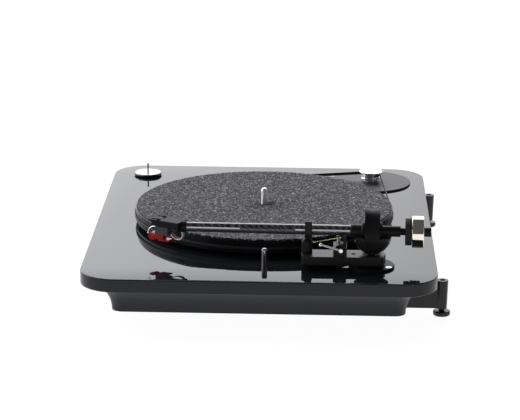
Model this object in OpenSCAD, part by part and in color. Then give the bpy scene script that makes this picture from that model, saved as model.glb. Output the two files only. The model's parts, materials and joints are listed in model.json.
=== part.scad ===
// Belt-drive turntable record player.
// Built in the plinth's own frame: +X is the arm side, +Y the rear, and z = 0
// is the plinth's top face. place() then stands the whole player on its feet.

/* [Plinth] */
// Width of the plinth board, side to side
plinth_w = 484; // [470:1:520]
// Depth of the plinth board, front to rear
plinth_d = 386; // [380:1:420]
// Thickness of the plinth board
plinth_t = 15; // [12:1:18]
// Radius of the plinth's corners
plinth_corner_r = 40; // [20:1:60]

/* [Base] */
// Height of the base frame under the board
base_h = 32; // [31:1:40]
// How far the base stands in from the board's edge, at its top
base_inset = 11.5; // [9:0.5:13]
// How much further the hollow side curves in at its foot
cove_depth = 22; // [18:0.5:24]
// Thickness of the base wall at its top
base_wall = 29; // [26:0.5:30]
// Thickness of the bottom cover
cover_t = 3; // [2:0.5:4]
// Diameter of a rubber foot
foot_d = 40; // [30:1:46]
// Height of a rubber foot
foot_h = 10.5; // [8:0.5:15]

/* [Platter] */
// Diameter of the platter, for a 12 inch record
platter_d = 298; // [296:1:304]
// Height of the platter's top face above the plinth
platter_top = 18.4; // [17:0.2:20]
// Thickness of the felt mat
mat_t = 1.8; // [1.5:0.1:3]
// Diameter of the record spindle, for a standard record hole
spindle_d = 7.15; // [7.1:0.01:7.2]
// Height of the spindle above the mat
spindle_h = 18.8; // [12:0.1:20]

/* [Drive] */
// Distance of the motor to the left of the plinth's centre
motor_left = 174; // [170:1:176]
// Distance of the motor behind the plinth's centre
motor_back = 127; // [122:1:128]
// Diameter of the motor pulley's drum
pulley_d = 21; // [18:0.5:24]
// Width of the flat drive belt
belt_w = 3.5; // [3:0.1:5]
// Thickness of the drive belt
belt_t = 0.8; // [0.5:0.1:1]

/* [Tone arm] */
// Distance of the arm's pivot to the right of the plinth's centre
pivot_x = 180; // [178:1:182]
// Distance of the arm's pivot behind the plinth's centre
pivot_y = 121.8; // [121:0.1:123]
// Height of the arm tube's axis above the plinth
arm_z = 40.5; // [40.5:0.1:42]
// Angle at which the arm lies in its rest
arm_rest_angle = 1.3; // [1:0.1:1.6]
// Angle between the headshell and the tube, seen from above
shell_turn = 26; // [22:0.5:28]
// Diameter of the arm tube at the headshell
tube_front_d = 10.5; // [9.5:0.1:10.8]
// Diameter of the arm tube at the collar
tube_rear_d = 11.7; // [11:0.1:12]
// Outer diameter of the bearing ring
ring_d = 50; // [46:0.5:50]
// Width of the bearing ring along the arm
ring_w = 16.4; // [14:0.2:17]
// Diameter of the polished counterweight
weight_d = 34.6; // [30:0.2:36]

/* [Controls] */
// Distance of the speed knob to the left of the plinth's centre
knob_left = 194; // [190:1:196]
// Distance of the speed knob in front of the plinth's centre
knob_front = 151; // [149:1:151]
// Diameter of the speed knob's cap
knob_d = 32; // [26:1:36]
// Height of the post that holds the single adapter
adapter_post_h = 21; // [15:1:22]

/* [Lid hinges] */
// Distance of each hinge socket from the centre line
hinge_x = 175.6; // [165:0.1:180]
// Distance of the hinge sockets behind the plinth's centre
hinge_y = 199.5; // [199:0.1:202]
// Diameter of the hole for the lid's hinge pin
socket_d = 6; // [5:0.1:6.5]

/* [Hidden] */

// Small round shapes and large round shapes use these facet counts
$fn = 64;
fine_fn = 180;
// Radial gap of a turning fit, and of a pressed fit inside one assembly
run_gap = 0.04;
snug_gap = 0.02;
// Overshoot of a cutting shape past the face it cuts
cut = 1;

// Heights
base_foot_z = -plinth_t - base_h;
floor_z = base_foot_z - foot_h;
mat_top = platter_top + mat_t;
rear_reach = hinge_y + 9.35;
centre_y = (rear_reach - plinth_d / 2) / 2;

// Base frame outline
base_r_top = 34;
cove_r = (base_h * base_h + cove_depth * cove_depth) / (2 * cove_depth);
base_w = plinth_w - 2 * base_inset;
base_d = plinth_d - 2 * base_inset;
inner_w = base_w - 2 * base_wall;
inner_d = base_d - 2 * base_wall;
inner_r = base_r_top - base_wall;
boss_d = 10;
boss_x = inner_w / 2 - 6;
boss_y = inner_d / 2 - 22;
boss_spots = [[-boss_x, -boss_y], [boss_x, -boss_y], [-boss_x, boss_y - 35], [boss_x, boss_y - 45],
    [-60, inner_d / 2 - 6], [0, -inner_d / 2 + 6]];
foot_x = 145;
foot_y = 105;

// Platter and drive
platter_x = 3.5;
platter_r = platter_d / 2;
platter_under = 4.5;
platter_skin = 3;
rim_t = 8;
shaft_r = 5;
shoulder_z = 12;
bearing_r = 11;
bearing_foot = -40;
motor_pos = [-motor_left, motor_back];
motor_r = 23;
motor_hole_r = 27;
belt_gap = 0.3;
belt_z = 10;

// Tone arm stations along the arm, measured forwards from the pivot
tube_end = 201.8;
collar_end = 23.4;
hub_front = 11.9;
hub_rear = 11.1;
hub_r = 9.7;
ring_bore_r = 12.6;
stub_end = 30.5;
rod_r = 3.95;
rod_end = 57.4;
dial_from = 35.6;
dial_to = 42.5;
weight_from = 42.8;
weight_to = 55.4;
shell_root = 206;

// Headshell stations, measured forwards from its root and across its centre line
shell_nose = 38.5;
shell_top = 5.8;
shell_skin = 1.6;
shell_half = 10;
shell_wall = 1.4;
cartridge_bolt_pitch = 12.7;
slot_station = 30;
bolt_station = 26.6;
tip_station = 32;

// Stage of the arm's base
post_r = 11;
post_bore_r = 6;
shaft_post_r = 4;
block_top = 15;
block_under = 5.2;
block_near = 196;
block_far = 168;
block_front = 45.6;
block_rear = 134.8;
column_y = 51.4;
column_x = 178;
lever_y = 88;
lever_z = 23;
lift_station = 36.8;

module place() {
    translate([0, -centre_y, -floor_z]) children();
}

module at_platter() {
    place() translate([platter_x, 0, 0]) children();
}

module at_motor() {
    place() translate([motor_pos.x, motor_pos.y, 0]) children();
}

module at_pivot() {
    place() translate([pivot_x, pivot_y, 0]) children();
}

// The arm's own frame: the pivot is the origin and the headshell lies towards -y
module on_arm() {
    at_pivot() translate([0, 0, arm_z]) rotate([0, 0, -arm_rest_angle]) children();
}

// The headshell's frame: its root is the origin and its nose lies towards -y
module on_shell() {
    on_arm() translate([0, -shell_root, 0]) rotate([0, 0, -shell_turn]) children();
}

// A drum along the arm, from one station to another, measured forwards
module drum(front, rear, r) {
    translate([0, -front, 0]) rotate([-90, 0, 0]) cylinder(r = r, h = front - rear);
}

module rounded_rect(w, d, r) {
    square([w - 2 * r, d], center = true);
    square([w, d - 2 * r], center = true);
    for (sx = [-1, 1], sy = [-1, 1]) {
        translate([sx * (w / 2 - r), sy * (d / 2 - r)]) circle(r);
    }
}

module rounded_slab(w, d, r, z, h) {
    translate([0, 0, z]) linear_extrude(h) rounded_rect(w, d, r);
}

// Sweeps an edge profile round a rounded rectangle. The profile's x runs
// outwards from the corner centres, its y is the height.
module edge_sweep(w, d, r) {
    run_x = w - 2 * r;
    run_y = d - 2 * r;
    for (turn = [0, 180]) {
        rotate([0, 0, turn]) translate([run_x / 2, run_y / 2, 0]) rotate([90, 0, 0])
            linear_extrude(run_y) children();
        rotate([0, 0, turn]) translate([run_x / 2, run_y / 2, 0]) rotate([90, 0, 90])
            mirror([0, 0, 1]) linear_extrude(run_x) children();
    }
    for (sx = [0, 1], sy = [0, 1]) {
        mirror([sx, 0, 0]) mirror([0, sy, 0]) translate([run_x / 2, run_y / 2, 0])
            rotate_extrude(angle = 90, $fn = fine_fn) children();
    }
}

// ---- Plinth and base ----

module plinth_board() {
    bevel = 0.8;
    color("#17181b") place() difference() {
        union() {
            translate([0, 0, -plinth_t])
                rounded_slab(plinth_w - 2 * plinth_corner_r + 0.02, plinth_d - 2 * plinth_corner_r + 0.02,
                    0.01, 0, plinth_t);
            edge_sweep(plinth_w, plinth_d, plinth_corner_r) polygon([[0, -plinth_t],
                [plinth_corner_r - bevel, -plinth_t], [plinth_corner_r, -plinth_t + bevel],
                [plinth_corner_r, -bevel], [plinth_corner_r - bevel, 0], [0, 0]]);
        }
        translate([platter_x, 0, -plinth_t - cut]) cylinder(r = bearing_r + snug_gap, h = plinth_t + 2 * cut);
        translate([motor_pos.x, motor_pos.y, -plinth_t - cut])
            cylinder(r = motor_hole_r, h = plinth_t + 2 * cut);
        translate([pivot_x, pivot_y, -plinth_t - cut]) cylinder(r = post_r + snug_gap, h = plinth_t + 2 * cut);
        translate([-knob_left, -knob_front, -plinth_t - cut]) cylinder(r = 3, h = plinth_t + 2 * cut);
        translate([187, 5.6, -12]) cylinder(r = 2.5 + snug_gap, h = 12 + cut);
        for (turn = [0, 120, 240]) {
            translate([pivot_x, pivot_y, -9]) rotate([0, 0, 60.5 + turn]) translate([21.1, 0, 0])
                cylinder(r = 1.5 + snug_gap, h = 10);
        }
    }
}

// The hollow side is an arc that leaves the board's underside steeply and ends upright
module base_profile() {
    reach = base_r_top;
    difference() {
        translate([inner_r, base_foot_z]) square([reach - inner_r, base_h]);
        translate([reach - cove_depth + cove_r, base_foot_z]) circle(cove_r, $fn = 360);
    }
}

module base_frame() {
    color("#1c1e22") place() difference() {
        union() {
            edge_sweep(base_w, base_d, base_r_top) base_profile();
            for (spot = boss_spots) {
                translate([spot.x, spot.y, base_foot_z + cover_t]) cylinder(d = boss_d, h = base_h - cover_t);
            }
        }
        for (spot = boss_spots) {
            translate([spot.x, spot.y, base_foot_z - cut]) cylinder(r = 1.7 + snug_gap, h = 20 + cut);
        }
        translate([-knob_left, -knob_front, -plinth_t - 13]) cylinder(r = 7.5, h = 13 + cut);
        translate([-10, inner_d / 2 - 5, base_foot_z + 6]) cube([100, base_wall + 10, 21]);
    }
}

module bottom_cover() {
    side_gap = 0.3;
    color("#2a2b2e") place() difference() {
        rounded_slab(inner_w - 2 * side_gap, inner_d - 2 * side_gap, inner_r, base_foot_z, cover_t);
        for (spot = boss_spots) {
            translate([spot.x, spot.y, base_foot_z - cut]) cylinder(r = 2, h = cover_t + 2 * cut);
        }
        for (sx = [-1, 1], sy = [-1, 1]) {
            translate([sx * foot_x, sy * foot_y, base_foot_z - cut]) cylinder(r = 2.2, h = cover_t + 2 * cut);
        }
    }
}

module cover_screws() {
    color("silver") place() for (spot = boss_spots) {
        translate([spot.x, spot.y, base_foot_z]) union() {
            difference() {
                translate([0, 0, -2]) cylinder(r = 3.5, h = 2);
                for (turn = [0, 90]) {
                    rotate([0, 0, turn]) translate([-2, -0.4, -2.5]) cube([4, 0.8, 1.4]);
                }
            }
            cylinder(r = 1.7, h = 16);
        }
    }
}

module rubber_feet() {
    r = foot_d / 2;
    color("#161616") place() for (sx = [-1, 1], sy = [-1, 1]) {
        translate([sx * foot_x, sy * foot_y, floor_z]) rotate_extrude($fn = fine_fn)
            polygon([[7, 0], [r - 3.5, 0], [r - 2, 1.2], [r, foot_h], [2.3, foot_h], [2.3, 5], [7, 5]]);
    }
}

module foot_screws() {
    color("silver") place() for (sx = [-1, 1], sy = [-1, 1]) {
        translate([sx * foot_x, sy * foot_y, 0]) union() {
            difference() {
                translate([0, 0, floor_z + 2.4]) cylinder(r = 4, h = 2.6);
                for (turn = [0, 90]) {
                    rotate([0, 0, turn]) translate([-2.4, -0.5, floor_z + 2]) cube([4.8, 1, 1.6]);
                }
            }
            translate([0, 0, floor_z + 5]) cylinder(r = 2, h = foot_h - 5 + cover_t + 4);
            translate([0, 0, base_foot_z + cover_t]) cylinder(d = 8.1, h = 3.2, $fn = 6);
        }
    }
}

// ---- Platter and drive ----

module bearing_housing() {
    color("#8d9095") at_platter() difference() {
        union() {
            translate([0, 0, bearing_foot]) cylinder(r = bearing_r, h = -bearing_foot + 0.5);
            cylinder(r = 22, h = 3);
        }
        translate([0, 0, bearing_foot + 2]) cylinder(r = 8, h = 60);
    }
}

module bearing_nut() {
    color("#b5b7ba") at_platter() translate([0, 0, -plinth_t - 5]) difference() {
        cylinder(r = 17, h = 5, $fn = 6);
        translate([0, 0, -cut]) cylinder(r = bearing_r + snug_gap, h = 5 + 2 * cut, $fn = 64);
    }
}

module bearing_bush() {
    color("#a87b3c") at_platter() translate([0, 0, -32]) difference() {
        cylinder(r = 8 - snug_gap, h = 34);
        translate([0, 0, -cut]) cylinder(r = shaft_r + run_gap, h = 34 + 2 * cut);
    }
}

module thrust_ball() {
    color("silver") at_platter() union() {
        translate([0, 0, bearing_foot + 2]) cylinder(r = 7.5, h = 1.2);
        translate([0, 0, bearing_foot + 3.2 + 2.4]) sphere(r = 2.5);
    }
}

module platter() {
    lip_r = platter_r - 2;
    color("#1a1b1d") at_platter() rotate_extrude($fn = 360) difference() {
        union() {
            translate([shaft_r, platter_under]) square([9, platter_top - platter_under]);
            translate([shaft_r, platter_top - platter_skin]) square([lip_r - shaft_r, platter_skin]);
            translate([platter_r - rim_t, platter_under]) square([rim_t - 2, platter_top - platter_under]);
            polygon([[lip_r - 0.5, platter_under], [platter_r - 0.6, platter_under],
                [platter_r, platter_under + 0.6], [platter_r, platter_top - 0.7],
                [platter_r - 0.7, platter_top], [lip_r - 0.5, platter_top]]);
        }
        square([shaft_r + snug_gap, shoulder_z + 0.1]);
        square([spindle_d / 2 + snug_gap, platter_top + cut]);
    }
}

module felt_mat() {
    color("#5b5c60") at_platter() translate([0, 0, platter_top]) difference() {
        cylinder(r = platter_r - 1.2, h = mat_t, $fn = 360);
        translate([0, 0, -cut]) cylinder(d = spindle_d + 0.4, h = mat_t + 2 * cut);
    }
}

module spindle() {
    r = spindle_d / 2;
    tip = mat_top + spindle_h;
    color("#e8e8ea") at_platter() rotate_extrude() union() {
        polygon([[0, bearing_foot + 8.15], [shaft_r - 1, bearing_foot + 8.15], [shaft_r, bearing_foot + 9.2],
            [shaft_r, shoulder_z], [r - 0.25, shoulder_z], [r - 0.25, mat_top + 0.2], [r, mat_top + 0.2],
            [r, tip - 2.2], [r - 0.5, tip - 1], [r - 1.4, tip - 0.3], [r - 2.4, tip], [0, tip]]);
    }
}

module motor() {
    color("#9a9ca0") at_motor() difference() {
        union() {
            translate([0, 0, -38]) cylinder(r = motor_r, h = 37);
            translate([0, 0, -41]) cylinder(r = 8, h = 3);
            translate([0, 0, -1]) cylinder(r = 6, h = 1.4);
        }
        translate([0, 0, -39]) cylinder(r = 1.5 + run_gap, h = 42);
    }
}

module motor_ring() {
    color("#202020") at_motor() difference() {
        translate([0, 0, -plinth_t]) cylinder(r = motor_hole_r - snug_gap, h = plinth_t - 0.2);
        translate([0, 0, -plinth_t - cut]) cylinder(r = motor_r + snug_gap, h = plinth_t + 2 * cut);
    }
}

module motor_plate() {
    color("#4b4c50") at_motor() rotate_extrude($fn = fine_fn)
        polygon([[7, 0], [48.4, 0], [49, 0.6], [49, 1.4], [48.6, 2], [7, 2]]);
}

module motor_shaft() {
    color("silver") at_motor() translate([0, 0, -37.5]) cylinder(r = 1.5, h = 50);
}

module pulley() {
    r = pulley_d / 2;
    low = belt_z - belt_w / 2 - 0.8;
    high = belt_z + belt_w / 2 + 0.8;
    color("#e6e7e9") at_motor() rotate_extrude() difference() {
        union() {
            polygon([[0, 2.6], [9, 2.6], [9, 5], [12.4, 5.6], [12.4, low - 0.4], [r, low],
                [r, high], [12.4, high + 0.3], [14.2, high + 0.9], [14.2, high + 2],
                [13.6, high + 2.5], [0, high + 2.5]]);
        }
        translate([0, 2]) square([1.5 + snug_gap, 10.5]);
    }
}

// Outline of the band: two round ends joined by their outer tangents
module band_outline(extra) {
    big = platter_r + belt_gap + extra;
    small = pulley_d / 2 + belt_gap + extra;
    run = motor_pos - [platter_x, 0];
    heading = atan2(run.y, run.x);
    lean = acos((big - small) / norm(run));
    translate([platter_x, 0]) circle(big, $fn = 360);
    translate(motor_pos) circle(small);
    polygon([[platter_x + big * cos(heading + lean), big * sin(heading + lean)],
        motor_pos + small * [cos(heading + lean), sin(heading + lean)],
        motor_pos + small * [cos(heading - lean), sin(heading - lean)],
        [platter_x + big * cos(heading - lean), big * sin(heading - lean)]]);
}

module drive_belt() {
    color("#101010") place() translate([0, 0, belt_z - belt_w / 2]) linear_extrude(belt_w) difference() {
        band_outline(belt_t);
        band_outline(0);
    }
}

// ---- Electronics and controls ----

module control_board() {
    color("#1f5a38") place() difference() {
        translate([-150, -110, -29.6]) cube([90, 56, 1.6]);
        for (spot = [[-146, -106], [-64, -106], [-146, -58], [-64, -58]]) {
            translate([spot.x, spot.y, -31]) cylinder(r = 1.6, h = 4);
        }
    }
}

module board_spacers() {
    color("#c9a227") place() for (spot = [[-146, -106], [-64, -106], [-146, -58], [-64, -58]]) {
        translate([spot.x, spot.y, 0]) union() {
            translate([0, 0, -28]) cylinder(r = 3, h = 13, $fn = 6);
            translate([0, 0, -29.6]) cylinder(r = 1.5, h = 1.6);
            translate([0, 0, -31.4]) cylinder(r = 2.8, h = 1.8);
        }
    }
}

module speed_switch() {
    color("#303236") place() translate([-knob_left, -knob_front, -plinth_t - 11.2]) difference() {
        cylinder(r = 6.5, h = 11);
        translate([0, 0, 3]) cylinder(r = 2 + run_gap, h = 10);
    }
}

module speed_knob() {
    r = knob_d / 2;
    color("#d9dadc") place() translate([-knob_left, -knob_front, 0]) difference() {
        rotate_extrude($fn = fine_fn)
            polygon([[0, 2.6], [r - 0.4, 2.6], [r, 3], [r, 3.5], [r - 0.6, 4], [4, 4], [3.4, 3.7], [0, 3.7]]);
        translate([0, 0, 2.8]) cylinder(r = 0.9 + snug_gap, h = 4);
    }
}

module knob_ring() {
    r = knob_d / 2;
    color("#141414") place() translate([-knob_left, -knob_front, 0]) rotate_extrude($fn = fine_fn)
        polygon([[0, -20], [2, -20], [2, 0.5], [r - 0.4, 0.5], [r + 1, 1], [r + 1, 2.1], [r + 0.5, 2.6], [0, 2.6]]);
}

module knob_pin() {
    color("#303030") place() translate([-knob_left, -knob_front, 2.8]) rotate_extrude()
        polygon([[0, 0], [0.9, 0], [0.9, 10], [1.1, 10.4], [1.1, 11.4], [0.7, 12], [0, 12.2]]);
}

module adapter_post() {
    r = 3.1;
    top = adapter_post_h;
    color("#e8e8ea") place() translate([187, 5.6, 0]) rotate_extrude()
        polygon([[0, -11.5], [2.5, -11.5], [2.5, 0], [r, 0], [r, top - 1.8],
            [r - 0.5, top - 0.8], [r - 1.4, top - 0.1], [0, top]]);
}

// ---- Arm base ----

module arm_flange() {
    color("#1b1c1f") at_pivot() difference() {
        union() {
            rotate_extrude($fn = fine_fn) polygon([[0, 0], [25, 0], [25, 2.2], [24.2, 3], [0, 3]]);
            translate([0, 0, -26]) cylinder(r = post_r, h = block_top - 0.2 + 26);
        }
        translate([0, 0, -27]) cylinder(r = post_bore_r, h = 60);
        for (turn = [0, 120, 240]) {
            rotate([0, 0, 60.5 + turn]) translate([21.1, 0, 0]) union() {
                translate([0, 0, -cut]) cylinder(r = 1.5 + snug_gap, h = 5);
                translate([0, 0, 1]) cylinder(r1 = 1.6, r2 = 3.7, h = 2.1);
            }
        }
    }
}

module arm_flange_screws() {
    color("#c9cacc") at_pivot() for (turn = [0, 120, 240]) {
        rotate([0, 0, 60.5 + turn]) translate([21.1, 0, 0]) difference() {
            union() {
                translate([0, 0, -8]) cylinder(r = 1.5, h = 9.2);
                translate([0, 0, 1.05]) cylinder(r1 = 1.5, r2 = 3.5, h = 1.95);
            }
            for (slot = [0, 90]) {
                rotate([0, 0, slot]) translate([-2, -0.4, 2.2]) cube([4, 0.8, 2]);
            }
        }
    }
}

module arm_nut() {
    color("#b5b7ba") at_pivot() translate([0, 0, -plinth_t - 5]) difference() {
        cylinder(r = 16.5, h = 5, $fn = 6);
        translate([0, 0, -cut]) cylinder(r = post_r + snug_gap, h = 7);
    }
}

module arm_bushes() {
    color("#a87b3c") at_pivot() for (z = [-22, 7.5]) {
        translate([0, 0, z]) difference() {
            cylinder(r = post_bore_r - snug_gap, h = 6);
            translate([0, 0, -cut]) cylinder(r = shaft_post_r + run_gap, h = 8);
        }
    }
}

module arm_block() {
    color("#26272b") place() difference() {
        translate([0, 0, block_under]) linear_extrude(block_top - block_under) union() {
            translate([(block_near + block_far) / 2, (block_front + block_rear) / 2])
                rounded_rect(block_near - block_far, block_rear - block_front, 4);
            translate([pivot_x, pivot_y]) circle(15);
        }
        translate([pivot_x, pivot_y, 0]) cylinder(r = post_r + snug_gap, h = 30);
        translate([183, 102, 8]) cylinder(r = 2.6, h = 20);
        translate([column_x, column_y, block_under - cut]) cylinder(r = 3 + snug_gap, h = 30);
        translate([174.7, 85.4, block_under + 1.4]) cylinder(r = 2.2 + run_gap, h = 30);
    }
}

module rest_column() {
    r = 6;
    color("#1d1e20") place() translate([column_x, column_y, 0]) rotate_extrude($fn = fine_fn) union() {
        polygon([[0, block_under + 0.4], [3, block_under + 0.4], [3, block_top], [r, block_top],
            [r, 27], [r - 0.7, 29], [r - 2, 30.4], [0, 30.4]]);
    }
}

// The open clip: a post on the column, a floor under the tube, a tall near wall
// and a low far lip, so the tube lifts over the lip towards the record
module rest_clip() {
    clip_w = 7.7;
    floor_r = 7.6;
    color("#17181a") place() translate([column_x + 0.4, 49 + clip_w, arm_z]) rotate([90, 0, 0])
        linear_extrude(clip_w) difference() {
            union() {
                circle(floor_r + 1.8);
                translate([floor_r - 0.7, -3]) square([2.5, 14.2]);
                translate([-3, -10.1]) square([6, 4]);
            }
            circle(floor_r - 0.8);
            translate([-20, -5.9]) square([20, 30]);
            translate([-cut, 0]) square([floor_r - 0.7 + cut, 30]);
        }
}

module lift_housing() {
    color("#1c1d20") place() difference() {
        union() {
            translate([168.5, 80, block_top]) cube([26, 14.5, 9.4]);
            translate([194.5, lever_y, lever_z]) rotate([0, -90, 0]) cylinder(r = 6, h = 7);
        }
        translate([189 - snug_gap, 90.4 - snug_gap, 22]) cube([4 + 2 * snug_gap, 3.4 + 2 * snug_gap, 20]);
        translate([174.7, 85.4, block_top - cut]) cylinder(r = 2.2 + run_gap, h = 20);
        translate([199, lever_y, lever_z]) rotate([0, -90, 0]) cylinder(r = 1.6 + run_gap, h = 12);
    }
}

module lift_piston() {
    color("silver") place() translate([174.7, 85.4, 14]) cylinder(r = 2.2, h = 17);
}

module lift_bar() {
    color("#161616") at_pivot() translate([0, 0, 31]) difference() {
        rotate([0, 0, 222]) rotate_extrude(angle = 52) union() {
            translate([lift_station - 1.6, 0]) square([3.2, 3.1]);
        }
        translate([0, 0, -40]) cylinder(r = 4, h = 2);
    }
}

// Lever: a cross shaft in the housing, a straight chrome arm and a ball
module lift_lever() {
    reach = 22.4;
    rise = 15.5;
    color("#e8e8ea") place() translate([0, lever_y, lever_z]) union() {
        translate([190, 0, 0]) rotate([0, 90, 0]) cylinder(r = 1.6, h = 9);
        translate([196.4, 0, 0]) rotate([0, 90, 0]) cylinder(r = 2.1, h = 3.6);
        translate([198.2, 0, 0]) rotate([90 - rise, 0, 0]) cylinder(r1 = 1.5, r2 = 0.9, h = reach);
        translate([198.2, -reach * cos(rise), reach * sin(rise)]) sphere(r = 2.2);
    }
}

module antiskate_bracket() {
    color("#1a1a1c") place() union() {
        translate([189, 90.4, 22]) cube([4, 3.4, 15.5]);
        translate([191, 88.7, 35.6]) rotate([-90, 0, 0]) cylinder(r = 2, h = 5);
    }
}

module antiskate_rod() {
    color("#c8a95a") place() translate([191, 88.6, 35.6]) rotate([100.5, 0, 0]) union() {
        translate([0, 0, 0.2]) cylinder(r = 0.6, h = 30);
        translate([0, 0, 30.2]) sphere(r = 1.1);
    }
}

// ---- Tone arm ----

module bearing_ring() {
    r = ring_d / 2;
    half = ring_w / 2;
    waist = 1.1;
    waist_r = (half * half + waist * waist) / (2 * waist);
    color("#191a1c") on_arm() difference() {
        rotate([90, 0, 0]) rotate_extrude($fn = fine_fn) difference() {
            translate([ring_bore_r, -half]) square([r - ring_bore_r, ring_w]);
            translate([r - waist + waist_r, 0]) circle(waist_r, $fn = 360);
        }
        translate([0, 0, -r - cut]) cylinder(r = shaft_post_r + snug_gap, h = 12);
        for (side = [-1, 1]) {
            rotate([0, 90 * side, 0]) cylinder(r = 2 + snug_gap, h = r + cut);
        }
    }
}

// Two half bowls, bolted to the ring's front and rear faces
module ring_covers() {
    half = ring_w / 2;
    bowl_r = 20.5;
    color("#1b1c1e") on_arm() difference() {
        translate([0, 0, -4.8]) rotate_extrude($fn = fine_fn) intersection() {
            circle(bowl_r);
            translate([0, -19.4]) square([bowl_r, 19.4]);
        }
        translate([-30, -half, -40]) cube([60, ring_w, 80]);
        drum(30, -30, ring_bore_r);
        translate([0, 0, -30]) cylinder(r = post_r + 1, h = 5.8);
    }
}

module pivot_shaft() {
    color("silver") at_pivot() translate([0, 0, -22.5]) cylinder(r = shaft_post_r, h = 22.5 + arm_z - ring_d / 2 + 9);
}

module pivot_screws() {
    color("#2c2c2e") on_arm() for (side = [-1, 1]) {
        rotate([0, 90 * side, 0]) difference() {
            union() {
                translate([0, 0, 10.2]) cylinder(r = 2, h = ring_d / 2 - 1.6 - 10.2);
                translate([0, 0, 6.4]) cylinder(r = 1.4, h = 4);
            }
            translate([-2.5, -0.3, ring_d / 2 - 2.4]) cube([5, 0.6, 2]);
        }
    }
}

module arm_hub() {
    color("#1d1e20") on_arm() difference() {
        translate([0, hub_rear, 0]) rotate([90, 0, 0]) rotate_extrude()
            polygon([[0, 0], [hub_r - 1.6, 0], [hub_r, 1.6], [hub_r, hub_rear + hub_front - 1.6],
                [hub_r - 1.6, hub_rear + hub_front], [0, hub_rear + hub_front]]);
        for (side = [-1, 1]) {
            rotate([0, 90 * side, 0]) translate([0, 0, 6]) cylinder(r = 1.4 + run_gap, h = 10);
        }
    }
}

module arm_tube() {
    color("#232426") on_arm() difference() {
        translate([0, -tube_end, 0]) rotate([-90, 0, 0])
            cylinder(d1 = tube_front_d, d2 = tube_rear_d, h = tube_end - collar_end);
        drum(tube_end + cut, collar_end - cut, 4.2);
    }
}

module arm_collar() {
    color("#151517") on_arm() translate([0, -hub_front, 0]) rotate([90, 0, 0]) rotate_extrude()
        polygon([[0, 0], [6.9, 0], [6.9, collar_end - hub_front - 0.7], [6.3, collar_end - hub_front],
            [4.16, collar_end - hub_front], [4.16, 1], [0, 1]]);
}

module rear_stub() {
    color("#18181a") on_arm() rotate([-90, 0, 0]) rotate_extrude()
        polygon([[0, hub_rear], [5.9, hub_rear], [5.9, stub_end - 0.6], [5.3, stub_end], [rod_r, stub_end],
            [rod_r, rod_end - 0.5], [rod_r - 0.5, rod_end], [0, rod_end]]);
}

module weight_bush() {
    color("#1b1b1d") on_arm() rotate([-90, 0, 0]) rotate_extrude() difference() {
        polygon([[0, weight_from + 0.3], [6, weight_from + 0.3], [6, weight_to - 0.4], [5, weight_to + 0.2],
            [5, 63], [4.4, 63.6], [0, 63.6]]);
        square([rod_r + run_gap, 61]);
    }
}

module counterweight() {
    r = weight_d / 2;
    color("#d6d3cc") on_arm() rotate([-90, 0, 0]) rotate_extrude($fn = fine_fn)
        polygon([[6 + run_gap, weight_from], [r - 0.6, weight_from], [r, weight_from + 0.6],
            [r, weight_to - 0.6], [r - 0.6, weight_to], [6 + run_gap, weight_to]]);
}

module weight_dial() {
    color("#141414") on_arm() rotate([-90, 0, 0]) difference() {
        rotate_extrude($fn = fine_fn) polygon([[rod_r + run_gap, dial_from], [14.1, dial_from],
            [14.75, dial_from + 0.7], [14.75, dial_to - 0.3], [14.4, dial_to], [rod_r + run_gap, dial_to]]);
        for (turn = [0:15:345]) {
            rotate([0, 0, turn]) translate([15.1, 0, dial_from + 1.6]) cylinder(r = 0.7, h = 8, $fn = 24);
        }
    }
}

// ---- Headshell and cartridge ----

module slot_2d(length, width) {
    square([width, length - width], center = true);
    for (side = [-1, 1]) {
        translate([0, side * (length - width) / 2]) circle(width / 2);
    }
}

module headshell() {
    inner = shell_half - shell_wall;
    color("#1f2022") difference() {
        union() {
            on_shell() union() {
                translate([0, 0, shell_top - shell_skin]) linear_extrude(shell_skin) difference() {
                    union() {
                        translate([0, -shell_nose / 2]) rounded_rect(2 * shell_half, shell_nose, 3);
                        translate([-shell_half, -shell_nose / 2]) square([2 * shell_half, shell_nose / 2]);
                    }
                    for (side = [-1, 1]) {
                        translate([side * cartridge_bolt_pitch / 2, -slot_station]) slot_2d(11, 3);
                    }
                }
                for (side = [-1, 1]) {
                    translate([side * (shell_half - shell_wall / 2) - shell_wall / 2, -33, -1.4])
                        cube([shell_wall, 33, shell_top]);
                }
                translate([-shell_half, -2.5, -5]) cube([2 * shell_half, 2.5, 10]);
            }
            on_arm() drum(tube_end + 5.5, tube_end - 0.5, 6.4);
        }
        on_arm() drum(tube_end + 0.1, tube_end - 2, tube_front_d / 2 + snug_gap);
        on_arm() drum(tube_end + 20, tube_end - 2, 3.2);
        on_shell() translate([-inner, -34, -20]) cube([2 * inner, 31, 20 + shell_top - shell_skin]);
        on_shell() translate([-3, -4, -20]) cube([6, 6.5, 19.6]);
    }
}

// A bright wire: out of the near wall, then a quarter turn forwards and down
module finger_lift() {
    wire_r = 0.6;
    bend_r = 8.5;
    color("#c7c8ca") on_shell() union() {
        translate([shell_half + 0.02, -27, -0.5]) rotate([0, 90, 0]) cylinder(r = wire_r, h = 3);
        translate([shell_half + 3, -27, -0.5]) sphere(r = 0.85);
        translate([shell_half + 3, -27, -0.5 - bend_r]) rotate([90, 0, -90]) rotate_extrude(angle = 90)
            translate([bend_r, 0]) circle(wire_r, $fn = 32);
        translate([shell_half + 3, -27 - bend_r, -0.5 - bend_r]) sphere(r = 0.9);
    }
}

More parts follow.
